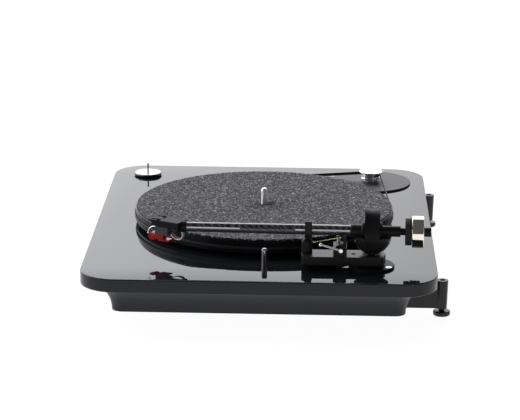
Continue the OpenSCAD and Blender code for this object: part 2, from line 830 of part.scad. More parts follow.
module cartridge() {
    ear_under = -1;
    color("#35363a") on_shell() difference() {
        union() {
            translate([-8.3, -bolt_station - 4, ear_under]) cube([16.6, 8.4, shell_top - shell_skin - ear_under]);
            translate([-5, -32, -12]) cube([10, 16, 12]);
            for (x = [-3, -1, 1, 3]) {
                translate([x, -13, -8.5 - abs(x) / 2]) rotate([90, 0, 0]) cylinder(r = 0.5, h = 4, $fn = 24);
            }
        }
        for (side = [-1, 1]) {
            translate([side * cartridge_bolt_pitch / 2, -bolt_station, ear_under - cut])
                cylinder(r = 1.2 + snug_gap, h = 8);
        }
    }
}

module cartridge_screws() {
    color("#26272a") on_shell() for (side = [-1, 1]) {
        translate([side * cartridge_bolt_pitch / 2, -bolt_station, 0]) difference() {
            union() {
                translate([0, 0, -0.9]) cylinder(r = 1.2, h = shell_top + 0.9);
                translate([0, 0, shell_top + 0.02]) cylinder(r = 2.2, h = 1.2);
            }
            translate([-3, -0.3, shell_top + 0.7]) cube([6, 0.6, 2]);
        }
    }
}

// A red plastic holder with a rounded nose, and the cantilever under it
module stylus_unit() {
    tip_z = -19.7;
    nose_r = 4.2;
    nose = 40.8;
    color("#b3161b") on_shell() union() {
        translate([-4.2, 0, 0]) rotate([90, 0, 90]) linear_extrude(8.4) difference() {
            union() {
                translate([-nose + nose_r, -19.4 + nose_r]) circle(nose_r);
                translate([-nose + nose_r, -19.4]) square([nose - nose_r - 22.5, 7.3]);
                translate([-23, -19.2]) square([8, 2.4]);
            }
            translate([-tip_station - 1.6, -20]) square([5, 2.6]);
        }
        translate([0, -tip_station + 6, -17.2]) rotate([90 + 20, 0, 0]) cylinder(r = 0.35, h = 6.2);
        translate([0, -tip_station, tip_z]) cylinder(r1 = 0.08, r2 = 0.3, h = 0.9, $fn = 24);
    }
}

// A lead's centre line leaves the cartridge, hangs down and turns up into the tube
function bow(t, a, b, c, d) =
    a * pow(1 - t, 3) + 3 * b * t * pow(1 - t, 2) + 3 * c * t * t * (1 - t) + d * pow(t, 3);
function lead_point(side, t) = [
    side * (1 - 0.33 * t),
    -bow(t, 12.45, 8, -7, 1.2),
    bow(t, -8.5 - abs(side) / 2, -18, -16, -1.6)
];

module lead(side, r) {
    rings = 16;
    sides = 8;
    points = [for (i = [0:rings]) let (t = i / rings, p = lead_point(side, t),
            q = lead_point(side, t + 0.01), dir = (q - p) / norm(q - p),
            across = [1, 0, 0] - dir * dir.x, u = across / norm(across), v = cross(dir, u))
        each [for (k = [0:sides - 1]) p + r * (u * cos(360 * k / sides) + v * sin(360 * k / sides))]];
    faces = [for (i = [0:rings - 1], k = [0:sides - 1]) let (a = i * sides, n = (k + 1) % sides)
        [a + k, a + sides + k, a + sides + n, a + n]];
    polyhedron(points, concat(faces, [[for (k = [0:sides - 1]) k]],
        [[for (k = [sides - 1:-1:0]) rings * sides + k]]), convexity = 4);
}

module cartridge_leads() {
    on_shell() {
        color("white") lead(-3, 0.5);
        color("green") lead(-1, 0.5);
        color("red") lead(1, 0.5);
        color("blue") lead(3, 0.5);
    }
}

// ---- Lid hinges and rear terminals ----

// Side view of the bracket that reaches from the base's hollow side to the hinge post
module bracket_profile() {
    edge = plinth_d / 2 - base_inset;
    foot = edge - cove_depth;
    intersection() {
        translate([foot, base_foot_z + 0.4]) square([hinge_y - foot, base_h - 0.8]);
        union() {
            translate([foot + cove_r, base_foot_z]) circle(cove_r - 0.05, $fn = 360);
            translate([edge + 0.05, base_foot_z]) square([hinge_y - edge, base_h]);
        }
    }
}

module hinge_sockets() {
    color("#1a1b1d") place() for (side = [-1, 1]) {
        translate([side * hinge_x, 0, 0]) difference() {
            union() {
                translate([-3.5, 0, 0]) rotate([90, 0, 90]) linear_extrude(7) bracket_profile();
                translate([0, hinge_y, base_foot_z]) cylinder(r1 = 5.6, r2 = 6.4, h = base_h, $fn = fine_fn);
            }
            translate([0, hinge_y, -plinth_t - 24]) cylinder(d = socket_d, h = 30);
            translate([0, hinge_y, base_foot_z - cut]) cylinder(r = 1.6 + run_gap, h = 20);
        }
    }
}

module hinge_knob() {
    color("#121214") difference() {
        rotate_extrude() polygon([[0, base_foot_z - 7.8], [8.6, base_foot_z - 7.8], [9.35, base_foot_z - 7],
            [9.35, base_foot_z - 3.4], [8.6, base_foot_z - 2.6], [3, base_foot_z - 2.6],
            [3, base_foot_z - 0.4], [1.6, base_foot_z - 0.4], [1.6, base_foot_z + 6], [0, base_foot_z + 6]]);
        translate([-7, -0.7, base_foot_z - 9]) cube([14, 1.4, 2.4]);
    }
}

module hinge_knob_left() {
    place() translate([-hinge_x, hinge_y, 0]) hinge_knob();
}

module hinge_knob_right() {
    place() translate([hinge_x, hinge_y, 0]) hinge_knob();
}

module rear_terminals() {
    panel_y = inner_d / 2 + 1;
    low = base_foot_z + 6.2;
    color("#202125") place() difference() {
        union() {
            translate([-9.8, panel_y, low]) cube([99.6, 2.5, 20.6]);
            for (x = [4, 22]) {
                translate([x, panel_y, low + 10.3]) rotate([-90, 0, 0]) cylinder(r = 4.15, h = 10);
            }
            translate([42, panel_y, low + 10.3]) rotate([-90, 0, 0]) cylinder(r = 2, h = 9.5);
            translate([42, panel_y + 2.5, low + 10.3]) rotate([-90, 0, 0]) cylinder(r = 4.2, h = 4);
            translate([66, panel_y - 11, low + 4.3]) cube([14, 13.5, 12]);
        }
        for (x = [4, 22]) {
            translate([x, panel_y + 2.5, low + 10.3]) rotate([-90, 0, 0]) cylinder(r = 1.6, h = 10);
        }
        translate([73, panel_y + 2.5, low + 10.3]) rotate([90, 0, 0]) difference() {
            translate([0, 0, -cut]) cylinder(r = 2.8, h = 10.5);
            translate([0, 0, -2 * cut]) cylinder(r = 1.05, h = 20);
        }
    }
}

plinth_board();
base_frame();
bottom_cover();
cover_screws();
rubber_feet();
foot_screws();
bearing_housing();
bearing_nut();
bearing_bush();
thrust_ball();
platter();
felt_mat();
spindle();
motor();
motor_ring();
motor_plate();
motor_shaft();
pulley();
drive_belt();
control_board();
board_spacers();
speed_switch();
speed_knob();
knob_ring();
knob_pin();
adapter_post();
arm_flange();
arm_flange_screws();
arm_nut();
arm_bushes();
arm_block();
rest_column();
rest_clip();
lift_housing();
lift_piston();
lift_bar();
lift_lever();
antiskate_bracket();
antiskate_rod();
bearing_ring();
ring_covers();
pivot_shaft();
pivot_screws();
arm_hub();
arm_tube();
arm_collar();
rear_stub();
weight_bush();
counterweight();
weight_dial();
headshell();
finger_lift();
cartridge();
cartridge_screws();
cartridge_leads();
stylus_unit();
hinge_sockets();
hinge_knob_left();
hinge_knob_right();
rear_terminals();
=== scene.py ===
import json
import math

import bmesh
import bpy
import numpy as np
from mathutils import Matrix, Vector
from mathutils.geometry import delaunay_2d_cdt


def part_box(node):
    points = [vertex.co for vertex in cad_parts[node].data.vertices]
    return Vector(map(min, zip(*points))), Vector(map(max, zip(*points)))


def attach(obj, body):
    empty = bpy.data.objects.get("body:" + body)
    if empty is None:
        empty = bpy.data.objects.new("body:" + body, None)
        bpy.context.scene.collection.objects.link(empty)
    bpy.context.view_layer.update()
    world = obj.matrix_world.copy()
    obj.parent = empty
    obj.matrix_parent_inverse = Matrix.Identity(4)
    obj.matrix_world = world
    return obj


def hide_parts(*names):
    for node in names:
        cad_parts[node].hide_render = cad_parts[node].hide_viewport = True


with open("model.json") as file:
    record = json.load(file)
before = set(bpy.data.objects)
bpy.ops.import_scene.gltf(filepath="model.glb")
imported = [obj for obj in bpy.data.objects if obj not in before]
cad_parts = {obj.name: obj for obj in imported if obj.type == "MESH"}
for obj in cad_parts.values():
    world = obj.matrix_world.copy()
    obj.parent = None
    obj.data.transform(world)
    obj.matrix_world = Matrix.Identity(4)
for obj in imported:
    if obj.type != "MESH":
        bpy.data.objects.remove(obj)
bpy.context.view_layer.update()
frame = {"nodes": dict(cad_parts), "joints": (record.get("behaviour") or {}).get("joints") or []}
mm = 0.001

# ---- Camera ----
# A long lens looks across the player from the arm's side, a little above it,
# so the plinth's far corners draw in and the polished top turns into a mirror.
view_azimuth = math.radians(91.63)
view_elevation = math.radians(15.71)
view_roll = math.radians(0.49)
view_distance = 2.623
board_low, board_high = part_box("plinth_board")
deck = board_high.z
aim_inward = 40 * mm
aim_left = 6.1 * mm
aim = Vector((-aim_inward, (board_low.y + board_high.y) / 2 - aim_left, deck))

towards = Vector((math.sin(view_azimuth) * math.cos(view_elevation),
                  -math.cos(view_azimuth) * math.cos(view_elevation), math.sin(view_elevation)))
level = Vector((math.cos(view_azimuth), math.sin(view_azimuth), 0))
upward = towards.cross(level)
lens_right = level * math.cos(view_roll) + upward * math.sin(view_roll)
lens_up = upward * math.cos(view_roll) - level * math.sin(view_roll)
turn = Matrix((lens_right, lens_up, towards)).transposed().to_4x4()

camera_data = bpy.data.cameras.new("camera")
camera_data.lens = 153.5
camera_data.sensor_width = 36
camera_data.clip_end = 50
camera = bpy.data.objects.new("camera", camera_data)
camera.matrix_world = Matrix.Translation(aim + towards * view_distance) @ turn
bpy.context.scene.collection.objects.link(camera)
bpy.context.scene.camera = camera

# ---- Light and floor ----
# A white screen stands behind the player, brighter above and to the left, and the lacquer
# and chrome mirror it. Overhead and on the camera's side it is nearly dark, apart from a
# thin strip lamp on the right and a soft panel on the left.
scene = bpy.context.scene
scene.view_settings.view_transform = "Standard"
world = bpy.data.worlds.new("screen")
world.use_nodes = True
scene.world = world
sky = world.node_tree.nodes
sky_links = world.node_tree.links
sky_from = sky.new("ShaderNodeTexCoord")
sky_side = sky.new("ShaderNodeVectorMath")
sky_side.operation = "DOT_PRODUCT"
sky_side.inputs[1].default_value = (0.9, 0.25, 0.55)
sky_edge = sky.new("ShaderNodeMapRange")
sky_edge.interpolation_type = "SMOOTHSTEP"
sky_edge.inputs["From Min"].default_value = -0.25
sky_edge.inputs["From Max"].default_value = 0.15
sky_edge.inputs["To Min"].default_value = 1
sky_edge.inputs["To Max"].default_value = 0
sky_slope = sky.new("ShaderNodeVectorMath")
sky_slope.operation = "DOT_PRODUCT"
sky_slope.inputs[1].default_value = (0, -2.0, 4.4)
sky_level = sky.new("ShaderNodeMath")
sky_level.operation = "ADD"
sky_level.inputs[1].default_value = 0.95
sky_shape = sky.new("ShaderNodeMath")
sky_shape.operation = "MULTIPLY"
sky_least = sky.new("ShaderNodeMath")
sky_least.operation = "MAXIMUM"
sky_least.inputs[1].default_value = 0.09
sky["Background"].inputs["Color"].default_value = (0.97, 0.975, 1, 1)
sky_links.new(sky_from.outputs["Generated"], sky_side.inputs[0])
sky_links.new(sky_from.outputs["Generated"], sky_slope.inputs[0])
sky_links.new(sky_side.outputs["Value"], sky_edge.inputs["Value"])
sky_links.new(sky_slope.outputs["Value"], sky_level.inputs[0])
sky_links.new(sky_level.outputs[0], sky_shape.inputs[0])
sky_links.new(sky_edge.outputs["Result"], sky_shape.inputs[1])
sky_links.new(sky_shape.outputs[0], sky_least.inputs[0])
sky_links.new(sky_least.outputs[0], sky["Background"].inputs["Strength"])


def lamp(name, width, height, energy, spot):
    """A flat lamp at spot that faces the player."""
    data = bpy.data.lights.new(name, "AREA")
    data.shape = "RECTANGLE"
    data.size = width
    data.size_y = height
    data.energy = energy
    holder = bpy.data.objects.new(name, data)
    holder.location = spot
    holder.rotation_euler = (Vector((0, 0, 0.1)) - holder.location).to_track_quat("-Z", "Y").to_euler()
    scene.collection.objects.link(holder)


lamp("strip", 0.07, 1.6, 1.6, (1.64, 1.15, 0.4))
lamp("panel", 1.0, 0.9, 6, (1.1, -1.9, 0.45))

floor_reach = 30
floor_mesh = bpy.data.meshes.new("floor")
floor_mesh.from_pydata([(-floor_reach, -floor_reach, 0), (floor_reach, -floor_reach, 0),
                        (floor_reach, floor_reach, 0), (-floor_reach, floor_reach, 0)], [], [(0, 1, 2, 3)])
floor = bpy.data.objects.new("floor", floor_mesh)
scene.collection.objects.link(floor)
floor_paint = bpy.data.materials.new("floor_paint")
floor_paint.use_nodes = True
floor_shader = floor_paint.node_tree.nodes["Principled BSDF"]
floor_shader.inputs["Base Color"].default_value = (0.12, 0.12, 0.12, 1)
floor_shader.inputs["Specular IOR Level"].default_value = 0.0
floor_shader.inputs["Roughness"].default_value = 0.9
floor_shader.inputs["Emission Color"].default_value = (1, 1, 1, 1)
floor_shader.inputs["Emission Strength"].default_value = 0.96
floor_mesh.materials.append(floor_paint)

# ---- Plinth board ----
# One 15 mm board with round corners and a small eased edge, sprayed and polished
# in black lacquer. It has holes for the bearing, motor, arm post and speed knob.
weld_gap = 2e-7


def finished(name, points, faces, material, slot, body, nodes, crease=34):
    """A piece from its points and faces: its doubles are merged, its faces turned outwards, and its edges
    sharper than crease, in degrees, stay sharp."""
    mesh = bpy.data.meshes.new(name)
    mesh.from_pydata(np.asarray(points, float).reshape(-1, 3).tolist(), [], faces)
    work = bmesh.new()
    work.from_mesh(mesh)
    bmesh.ops.remove_doubles(work, verts=work.verts, dist=weld_gap)
    bmesh.ops.recalc_face_normals(work, faces=work.faces)
    work.to_mesh(mesh)
    work.free()
    mesh.shade_smooth()
    mesh.set_sharp_from_angle(angle=math.radians(crease))
    mesh.materials.append(material)
    piece = bpy.data.objects.new(name, mesh)
    scene.collection.objects.link(piece)
    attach(piece, body)
    if nodes:
        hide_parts(*nodes)
    return piece


def between(ring_a, ring_b, count):
    """Quads between two closed rings of count points that start at ring_a and ring_b."""
    i = np.arange(count)
    j = (i + 1) % count
    return np.stack([ring_a + i, ring_a + j, ring_b + j, ring_b + i], 1)


def round_corners(width, depth, radius, steps=24):
    """Outline of a rectangle with round corners: four quarter circles, one at each corner's centre."""
    quarter = np.linspace(0, math.pi / 2, steps)
    angles = np.concatenate([quarter + k * math.pi / 2 for k in range(4)])
    sign_x = np.repeat([1, -1, -1, 1], steps)
    sign_y = np.repeat([1, 1, -1, -1], steps)
    return np.stack([sign_x * (width / 2 - radius) + radius * np.cos(angles),
                     sign_y * (depth / 2 - radius) + radius * np.sin(angles)], 1)


def circle(centre, radius, steps=64):
    """Outline of a circle: its centre plus the radius turned through a full turn."""
    angles = np.linspace(0, 2 * math.pi, steps, endpoint=False)
    return np.stack([centre[0] + radius * np.cos(angles), centre[1] + radius * np.sin(angles)], 1)


def at_height(outline, z):
    """A flat outline's points, lifted to height z."""
    return np.column_stack([outline, np.full(len(outline), z)])


def eased_slab(outline_at, low, high, ease, holes, steps=5):
    """A slab whose edge is a quarter round: the outline drawn in by ease * (1 - cos a) as the height nears
    a face by ease * (1 - sin a). The flat faces are filled between the outline and the holes."""
    angle = np.linspace(0, math.pi / 2, steps)
    inset = np.concatenate([ease * (1 - np.cos(angle[::-1])), ease * (1 - np.cos(angle))])
    height = np.concatenate([low + ease * (1 - np.sin(angle[::-1])), high - ease * (1 - np.sin(angle))])
    rings = [at_height(outline_at(drawn_in), z) for drawn_in, z in zip(inset, height)]
    count = len(rings[0])
    points = [np.concatenate(rings)]
    faces = [between(k * count, (k + 1) * count, count) for k in range(len(rings) - 1)]
    start = count * len(rings)
    for hole in holes:
        n = len(hole)
        points += [at_height(hole, low), at_height(hole, high)]
        faces.append(between(start, start + n, n))
        start += 2 * n
    faces = np.concatenate(faces).tolist()
    loops = [rings[0][:, :2]] + holes
    flat = [Vector(p) for p in np.concatenate(loops).tolist()]
    marks = np.cumsum([0] + [len(loop) for loop in loops])
    edges = np.concatenate([between(a, a, b - a)[:, :2] for a, b in zip(marks[:-1], marks[1:])]).tolist()
    inside_with_holes = 2
    spots, _, triangles, *_ = delaunay_2d_cdt(flat, edges, [], inside_with_holes, 1e-7)
    spots = np.array([tuple(p) for p in spots])
    triangles = np.array(triangles)
    for z in (low, high):
        points.append(at_height(spots, z))
        faces += (triangles + start).tolist()
        start += len(spots)
    return np.concatenate(points), faces


def lacquer(name, tone, roughness, index=1.33):
    """Sprayed and polished lacquer: a dark mirror with very faint haze that varies across the board."""
    material = bpy.data.materials.new(name)
    material.use_nodes = True
    nodes, links = material.node_tree.nodes, material.node_tree.links
    shader = nodes["Principled BSDF"]
    shader.inputs["Base Color"].default_value = (*tone, 1)
    shader.inputs["IOR"].default_value = index
    place = nodes.new("ShaderNodeTexCoord")
    haze = nodes.new("ShaderNodeTexNoise")
    haze.inputs["Scale"].default_value = 14
    haze.inputs["Detail"].default_value = 5
    span = nodes.new("ShaderNodeMapRange")
    span.inputs["To Min"].default_value = roughness * 0.6
    span.inputs["To Max"].default_value = roughness * 1.5
    peel = nodes.new("ShaderNodeTexNoise")
    peel.inputs["Scale"].default_value = 260
    bump = nodes.new("ShaderNodeBump")
    bump.inputs["Strength"].default_value = 0.012
    bump.inputs["Distance"].default_value = 0.0004
    links.new(place.outputs["Object"], haze.inputs["Vector"])
    links.new(place.outputs["Object"], peel.inputs["Vector"])
    links.new(haze.outputs["Fac"], span.inputs["Value"])
    links.new(span.outputs["Result"], shader.inputs["Roughness"])
    links.new(peel.outputs["Fac"], bump.inputs["Height"])
    links.new(bump.outputs["Normal"], shader.inputs["Normal"])
    return material


def middle(node):
    """Centre of a node's box."""
    low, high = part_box(node)
    return (low + high) / 2


board_lacquer = lacquer("board_lacquer", (0.011, 0.012, 0.015), 0.035)
board_mid = (board_low + board_high) / 2
board_w = board_high.x - board_low.x
board_d = board_high.y - board_low.y
corner_r = 40 * mm
edge_ease = 1.1 * mm
bearing_hole = 11.02 * mm
motor_hole = 27 * mm
knob_hole = 3 * mm
post_hole = 2.52 * mm
platter_at = middle("platter")
motor_at = middle("motor")
pivot_at = middle("arm_flange")
knob_at = middle("speed_knob")
post_at = middle("adapter_post")
board_points, board_faces = eased_slab(
    lambda inset: round_corners(board_w - 2 * inset, board_d - 2 * inset, corner_r - inset)
    + [board_mid.x, board_mid.y], board_low.z, deck, edge_ease,
    [circle(platter_at, bearing_hole), circle(motor_at, motor_hole), circle(pivot_at, bearing_hole),
     circle(knob_at, knob_hole), circle(post_at, post_hole)])
finished("plinth_board_lacquered", board_points, board_faces, board_lacquer, "board", "chassis",
         ["plinth_board"])

# ---- Base and feet ----
# A moulded frame under the board with hollow curved sides in satin black, closed
# below by a screwed cover that stands on four rubber feet.


def softened(node, name, material, body, width):
    """A copy of a node's own shape: its doubles are merged, its flat areas joined, and its edges sharper
    than 30 degrees rounded off by width."""
    sharp = math.radians(30)
    mesh = frame["nodes"][node].data.copy()
    work = bmesh.new()
    work.from_mesh(mesh)
    bmesh.ops.remove_doubles(work, verts=work.verts, dist=1e-6)
    bmesh.ops.dissolve_limit(work, angle_limit=math.radians(1), verts=work.verts, edges=work.edges)
    work.to_mesh(mesh)
    work.free()
    mesh.materials.clear()
    mesh.materials.append(material)
    mesh.shade_smooth()
    mesh.set_sharp_from_angle(angle=sharp)
    piece = bpy.data.objects.new(name, mesh)
    scene.collection.objects.link(piece)
    ease = piece.modifiers.new("ease", "BEVEL")
    ease.width = width
    ease.segments = 3
    ease.limit_method = "ANGLE"
    ease.angle_limit = sharp
    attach(piece, body)
    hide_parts(node)
    return piece


def moulded(name, tone, roughness, grain_scale=900, grain=0.25, sheen=0.0, specular=0.3):
    """Moulded plastic or black-coated metal: a fine grain in the bump, and a tone and gloss that drift
    a little from place to place."""
    material = bpy.data.materials.new(name)
    material.use_nodes = True
    nodes, links = material.node_tree.nodes, material.node_tree.links
    shader = nodes["Principled BSDF"]
    shader.inputs["Sheen Weight"].default_value = sheen
    shader.inputs["Specular IOR Level"].default_value = specular
    place = nodes.new("ShaderNodeTexCoord")
    drift = nodes.new("ShaderNodeTexNoise")
    drift.inputs["Scale"].default_value = 22
    drift.inputs["Detail"].default_value = 6
    tones = nodes.new("ShaderNodeValToRGB")
    tones.color_ramp.elements[0].position = 0.3
    tones.color_ramp.elements[1].position = 0.7
    tones.color_ramp.elements[0].color = (*[c * 0.82 for c in tone], 1)
    tones.color_ramp.elements[1].color = (*[min(1, c * 1.18) for c in tone], 1)
    gloss = nodes.new("ShaderNodeMapRange")
    gloss.inputs["To Min"].default_value = roughness * 0.86
    gloss.inputs["To Max"].default_value = min(1, roughness * 1.14)
    grit = nodes.new("ShaderNodeTexNoise")
    grit.inputs["Scale"].default_value = grain_scale
    grit.inputs["Detail"].default_value = 3
    bump = nodes.new("ShaderNodeBump")
    bump.inputs["Strength"].default_value = grain
    bump.inputs["Distance"].default_value = 0.00012
    links.new(place.outputs["Object"], drift.inputs["Vector"])
    links.new(place.outputs["Object"], grit.inputs["Vector"])
    links.new(drift.outputs["Fac"], tones.inputs["Fac"])
    links.new(tones.outputs["Color"], shader.inputs["Base Color"])
    links.new(drift.outputs["Fac"], gloss.inputs["Value"])
    links.new(gloss.outputs["Result"], shader.inputs["Roughness"])
    links.new(grit.outputs["Fac"], bump.inputs["Height"])
    links.new(bump.outputs["Normal"], shader.inputs["Normal"])
    return material


def bright(name, tone, roughness, streak=(1, 1, 1), scratch=0.06, spread=0.0):
    """Turned, brushed or plated metal: fine marks stretched along one direction vary its gloss and bump.
    With spread, turning marks round an upright axis draw reflections out along that axis."""
    material = bpy.data.materials.new(name)
    material.use_nodes = True
    nodes, links = material.node_tree.nodes, material.node_tree.links
    shader = nodes["Principled BSDF"]
    shader.inputs["Base Color"].default_value = (*tone, 1)
    shader.inputs["Metallic"].default_value = 1
    shader.inputs["Anisotropic"].default_value = spread
    shader.inputs["Anisotropic Rotation"].default_value = 0.25
    if spread:
        rounds = nodes.new("ShaderNodeTangent")
        rounds.direction_type = "RADIAL"
        rounds.axis = "Z"
        links.new(rounds.outputs["Tangent"], shader.inputs["Tangent"])
    place = nodes.new("ShaderNodeTexCoord")
    stretch = nodes.new("ShaderNodeMapping")
    stretch.inputs["Scale"].default_value = streak
    marks = nodes.new("ShaderNodeTexNoise")
    marks.inputs["Scale"].default_value = 700
    marks.inputs["Detail"].default_value = 4
    gloss = nodes.new("ShaderNodeMapRange")
    gloss.inputs["To Min"].default_value = roughness * 0.7
    gloss.inputs["To Max"].default_value = min(1, roughness * 1.4)
    bump = nodes.new("ShaderNodeBump")
    bump.inputs["Strength"].default_value = scratch
    bump.inputs["Distance"].default_value = 0.00008
    links.new(place.outputs["Object"], stretch.inputs["Vector"])
    links.new(stretch.outputs["Vector"], marks.inputs["Vector"])
    links.new(marks.outputs["Fac"], gloss.inputs["Value"])
    links.new(gloss.outputs["Result"], shader.inputs["Roughness"])
    links.new(marks.outputs["Fac"], bump.inputs["Height"])
    links.new(bump.outputs["Normal"], shader.inputs["Normal"])
    return material


def refinish(node, material):
    """Gives a node that keeps its own mesh a better material."""
    mesh = frame["nodes"][node].data
    mesh.materials.clear()
    mesh.materials.append(material)


base_satin = moulded("base_satin", (0.009, 0.0102, 0.0148), 0.4)
cover_board = moulded("cover_board", (0.035, 0.035, 0.038), 0.6, 500, 0.4)
foot_rubber = moulded("foot_rubber", (0.016, 0.016, 0.016), 0.75, 650, 0.5, 0.15)
screw_steel = bright("screw_steel", (0.55, 0.55, 0.57), 0.26)
softened("base_frame", "base_frame_moulded", base_satin, "chassis", 0.8 * mm)
softened("bottom_cover", "bottom_cover_panel", cover_board, "chassis", 0.4 * mm)
softened("rubber_feet", "rubber_feet_moulded", foot_rubber, "chassis", 0.7 * mm)
softened("cover_screws", "cover_screws_cut", screw_steel, "chassis", 0.15 * mm)
softened("foot_screws", "foot_screws_cut", screw_steel, "chassis", 0.15 * mm)

# ---- Bearing, platter, mat and spindle ----
# A steel spindle turns in a bronze bush on a ball. The platter is a turned steel
# disc in gloss black with a polished lip, under a mat of pressed grey felt.


def softened_line(corners, steps=5):
    """A line through corners (radius, height, ease): each corner is cut back by ease along both its sides
    and bridged by a parabola, the point (1-s)^2 A + 2s(1-s) corner + s^2 B. One more point a little past
    each of its ends keeps the shading of the flats beside it even."""
    past = 1.25
    spots = np.array([(c[0], c[1]) for c in corners], float)
    line = [spots[:1]]
    for k in range(1, len(spots) - 1):
        ease = corners[k][2] if len(corners[k]) > 2 else 0
        if not ease:
            line.append(spots[k:k + 1])
            continue
        before = (spots[k - 1] - spots[k]) / np.linalg.norm(spots[k - 1] - spots[k])
        after = (spots[k + 1] - spots[k]) / np.linalg.norm(spots[k + 1] - spots[k])
        s = np.linspace(0, 1, steps)[:, None]
        bend = ((1 - s) ** 2 * (spots[k] + before * ease) + 2 * s * (1 - s) * spots[k]
                + s ** 2 * (spots[k] + after * ease))
        line += [spots[k:k + 1] + before * ease * past, bend, spots[k:k + 1] + after * ease * past]
    line.append(spots[-1:])
    return np.concatenate(line)


up = Vector((0, 0, 1))
across = Vector((1, 0, 0))


def turned(corners, centre, axis=up, side=across, steps=128, flutes=0, depth=0.0):
    """A turned part: the eased line carried round an axis, as centre + height * axis + radius *
    (cos t * side + sin t * third). Flutes draw the outermost radius in by depth * (1 - |cos|) of their
    own angle."""
    line = softened_line(corners)
    angle = np.linspace(0, 2 * math.pi, steps, endpoint=False)
    radius = np.repeat(line[:, 0:1], steps, axis=1)
    if flutes:
        outer = line[:, 0:1] > line[:, 0].max() - depth
        radius = radius - outer * depth * (1 - np.abs(np.cos(flutes * angle / 2)))
    axis_v, side_v = np.array(axis), np.array(side)
    third = np.cross(axis_v, side_v)
    spoke = np.cos(angle)[:, None] * side_v + np.sin(angle)[:, None] * third
    points = (np.array(centre) + line[:, 1][:, None, None] * axis_v
              + radius[:, :, None] * spoke[None]).reshape(-1, 3)
    last = len(line) - 1
    faces = np.concatenate([between(k * steps, (k + 1) * steps, steps) for k in range(last)]).tolist()
    if not np.allclose(line[0], line[last]):
        faces += [(row * steps + np.arange(steps)).tolist() for row in (0, last) if line[row, 0] > weld_gap]
    return points, faces


def at(spot, z):
    """A point on the axis of spot, z above the board's top face."""
    return (spot.x, spot.y, deck + z)


bearing_steel = bright("bearing_steel", (0.56, 0.57, 0.58), 0.3)
bush_bronze = bright("bush_bronze", (0.5, 0.32, 0.15), 0.42)
spindle_chrome = bright("spindle_chrome", (0.9, 0.89, 0.85), 0.3, (1, 1, 8), 0.02, 0.95)
platter_black = lacquer("platter_black", (0.010, 0.011, 0.013), 0.09, 1.17)
refinish("bearing_housing", bearing_steel)
refinish("bearing_nut", bearing_steel)
refinish("thrust_ball", bearing_steel)
refinish("bearing_bush", bush_bronze)

platter_low, platter_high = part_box("platter")
platter_r = (platter_high.y - platter_low.y) / 2
platter_base = platter_low.z - deck
platter_face = platter_high.z - deck
shaft_bore = 5.02 * mm
hub_r = 14 * mm
rim_inner = platter_r - 8 * mm
web_under = platter_face - 3 * mm
spindle_r = 3.575 * mm
shoulder = 12 * mm
turning_gap = 0.02 * mm
finished("platter_turned", *turned([
    (shaft_bore, platter_base), (hub_r, platter_base, 0.4 * mm),
    (hub_r, web_under, 1 * mm), (rim_inner, web_under, 1 * mm),
    (rim_inner, platter_base, 0.4 * mm), (platter_r, platter_base, 0.5 * mm),
    (platter_r, platter_face - 0.7 * mm, 0.3 * mm), (platter_r - 0.7 * mm, platter_face, 0.3 * mm),
    (spindle_r + turning_gap, platter_face), (spindle_r + turning_gap, shoulder + 0.1 * mm),
    (shaft_bore, shoulder + 0.1 * mm), (shaft_bore, platter_base)],
    at(platter_at, 0), steps=320), platter_black, "platter", "platter", ["platter"], crease=50)


def felt():
    """Pressed wool felt: dark and light fibres mixed in short flecks of two sizes, very rough, with a
    little sheen."""
    material = bpy.data.materials.new("mat_felt")
    material.use_nodes = True
    nodes, links = material.node_tree.nodes, material.node_tree.links
    shader = nodes["Principled BSDF"]
    shader.inputs["Roughness"].default_value = 0.95
    shader.inputs["Specular IOR Level"].default_value = 0.15
    shader.inputs["Sheen Weight"].default_value = 0.12
    shader.inputs["Sheen Roughness"].default_value = 0.6
    place = nodes.new("ShaderNodeTexCoord")
    flecks = nodes.new("ShaderNodeTexNoise")
    flecks.inputs["Scale"].default_value = 300
    flecks.inputs["Detail"].default_value = 3
    flecks.inputs["Roughness"].default_value = 0.6
    flecks.inputs["Distortion"].default_value = 1.5
    fibres = nodes.new("ShaderNodeTexVoronoi")
    fibres.inputs["Scale"].default_value = 420
    blend = nodes.new("ShaderNodeMath")
    blend.operation = "MULTIPLY_ADD"
    blend.inputs[1].default_value = -0.22
    tones = nodes.new("ShaderNodeValToRGB")
    ramp = tones.color_ramp
    ramp.elements[0].position = 0.33
    ramp.elements[0].color = (0.004, 0.004, 0.005, 1)
    ramp.elements[1].position = 0.56
    ramp.elements[1].color = (0.40, 0.386, 0.417, 1)
    step = ramp.elements.new(0.41)
    step.color = (0.018, 0.0172, 0.0196, 1)
    bump = nodes.new("ShaderNodeBump")
    bump.inputs["Strength"].default_value = 0.8
    bump.inputs["Distance"].default_value = 0.0006
    links.new(place.outputs["Object"], flecks.inputs["Vector"])
    links.new(place.outputs["Object"], fibres.inputs["Vector"])
    links.new(fibres.outputs["Distance"], blend.inputs[0])
    links.new(flecks.outputs["Fac"], blend.inputs[2])
    links.new(blend.outputs[0], tones.inputs["Fac"])
    links.new(tones.outputs["Color"], shader.inputs["Base Color"])
    links.new(flecks.outputs["Fac"], bump.inputs["Height"])
    links.new(bump.outputs["Normal"], shader.inputs["Normal"])
    return material


mat_low, mat_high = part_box("felt_mat")
mat_r = (mat_high.y - mat_low.y) / 2
mat_t = mat_high.z - mat_low.z
mat_hole = 3.8 * mm
mat_rows = 90
mat_steps = 540
nap_height = 0.035 * mm
nap_most = 0.14 * mm

